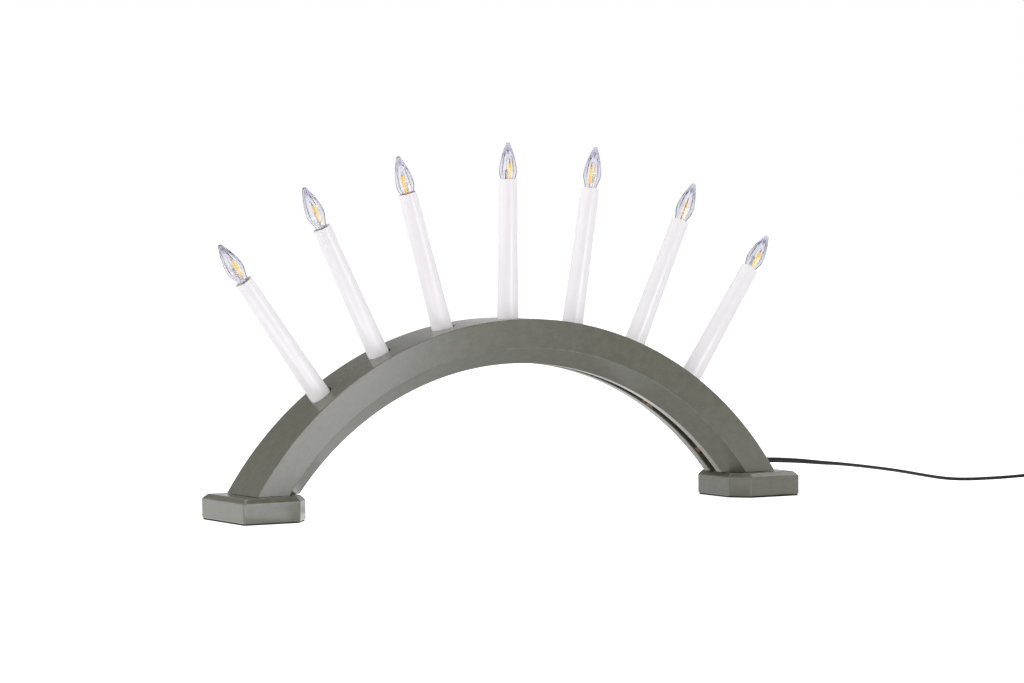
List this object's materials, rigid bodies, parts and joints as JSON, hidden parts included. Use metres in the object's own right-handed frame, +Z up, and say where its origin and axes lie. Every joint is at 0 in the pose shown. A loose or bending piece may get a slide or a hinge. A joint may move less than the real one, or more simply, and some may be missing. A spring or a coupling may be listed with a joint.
{
  "type": "electric candle arch",
  "caption": "Painted wooden arch on two feet carrying a fan of white electric candles with clear flame-shaped screw bulbs, wired in a groove underneath, with a black mains lead and plug.",
  "frame": {"origin": "on the table, under the middle of the arch, at the bottom centre of the object without its lead", "axes": "+X along the arch towards the leg with the lead, -Y to the front, +Z up"},
  "size_m": [0.969, 0.1051, 0.3126],
  "materials": {
    "painted_wood": "grey-green satin paint over wood, slightly mottled",
    "candle_white": "white satin plastic",
    "holder_plastic": "off-white matte plastic",
    "bulb_glass": "clear fluted glass",
    "nickel": "nickel plate",
    "filament": "yellow phosphor coat",
    "wire_brown": "dark brown insulation",
    "screw_steel": "zinc-plated steel",
    "felt": "dark felt",
    "lead_black": "black satin sheath",
    "tie_black": "black plastic band",
    "plug_black": "black moulded plastic"
  },
  "bodies": {
    "stand": {"arch": "painted_wood", "foot_left": "painted_wood", "foot_right": "painted_wood", "felt_pad_left": "felt", "felt_pad_right": "felt", "foot_screw_1": "screw_steel", "foot_screw_2": "screw_steel", "foot_screw_3": "screw_steel", "foot_screw_4": "screw_steel", "candle_tube_1": "candle_white", "lamp_holder_1": "holder_plastic", "candle_tube_2": "candle_white", "lamp_holder_2": "holder_plastic", "candle_tube_3": "candle_white", "lamp_holder_3": "holder_plastic", "candle_tube_4": "candle_white", "lamp_holder_4": "holder_plastic", "candle_tube_5": "candle_white", "lamp_holder_5": "holder_plastic", "candle_tube_6": "candle_white", "lamp_holder_6": "holder_plastic", "candle_tube_7": "candle_white", "lamp_holder_7": "holder_plastic", "link_wire_1": "wire_brown", "link_wire_2": "wire_brown", "link_wire_3": "wire_brown", "link_wire_4": "wire_brown", "link_wire_5": "wire_brown", "link_wire_6": "wire_brown", "supply_wire": "wire_brown", "return_wire": "wire_brown", "cord_bush": "lead_black", "cord": "lead_black", "cord_coil": "lead_black", "coil_tie": "tie_black", "cord_tail": "lead_black", "plug_body": "plug_black", "plug_pin_a": "nickel", "plug_pin_b": "nickel"},
    "bulb_1": {"bulb_base_1": "nickel", "bulb_glass_1": "bulb_glass", "filament_1": "filament"},
    "bulb_2": {"bulb_base_2": "nickel", "bulb_glass_2": "bulb_glass", "filament_2": "filament"},
    "bulb_3": {"bulb_base_3": "nickel", "bulb_glass_3": "bulb_glass", "filament_3": "filament"},
    "bulb_4": {"bulb_base_4": "nickel", "bulb_glass_4": "bulb_glass", "filament_4": "filament"},
    "bulb_5": {"bulb_base_5": "nickel", "bulb_glass_5": "bulb_glass", "filament_5": "filament"},
    "bulb_6": {"bulb_base_6": "nickel", "bulb_glass_6": "bulb_glass", "filament_6": "filament"},
    "bulb_7": {"bulb_base_7": "nickel", "bulb_glass_7": "bulb_glass", "filament_7": "filament"}
  },
  "joints": [
    {"name": "bulb_1_turn", "type": "hinge", "parent": "stand", "child": "bulb_1", "pos_m": [-0.25002, 0, 0.19875], "axis": [-0.5842, 0, 0.8116], "range_deg": [0, 180]},
    {"name": "bulb_2_turn", "type": "hinge", "parent": "stand", "child": "bulb_2", "pos_m": [-0.17708, 0, 0.24199], "axis": [-0.4384, 0, 0.8988], "range_deg": [0, 180]},
    {"name": "bulb_3_turn", "type": "hinge", "parent": "stand", "child": "bulb_3", "pos_m": [-0.0944, 0, 0.26512], "axis": [-0.2698, 0, 0.9629], "range_deg": [0, 180]},
    {"name": "bulb_4_turn", "type": "hinge", "parent": "stand", "child": "bulb_4", "pos_m": [0.0019, 0, 0.27497], "axis": [0.0122, 0, 0.9999], "range_deg": [0, 180]},
    {"name": "bulb_5_turn", "type": "hinge", "parent": "stand", "child": "bulb_5", "pos_m": [0.08358, 0, 0.27119], "axis": [0.1607, 0, 0.987], "range_deg": [0, 180]},
    {"name": "bulb_6_turn", "type": "hinge", "parent": "stand", "child": "bulb_6", "pos_m": [0.17441, 0, 0.24161], "axis": [0.4131, 0, 0.9107], "range_deg": [0, 180]},
    {"name": "bulb_7_turn", "type": "hinge", "parent": "stand", "child": "bulb_7", "pos_m": [0.2456, 0, 0.19775], "axis": [0.5556, 0, 0.8315], "range_deg": [0, 180]}
  ]
}
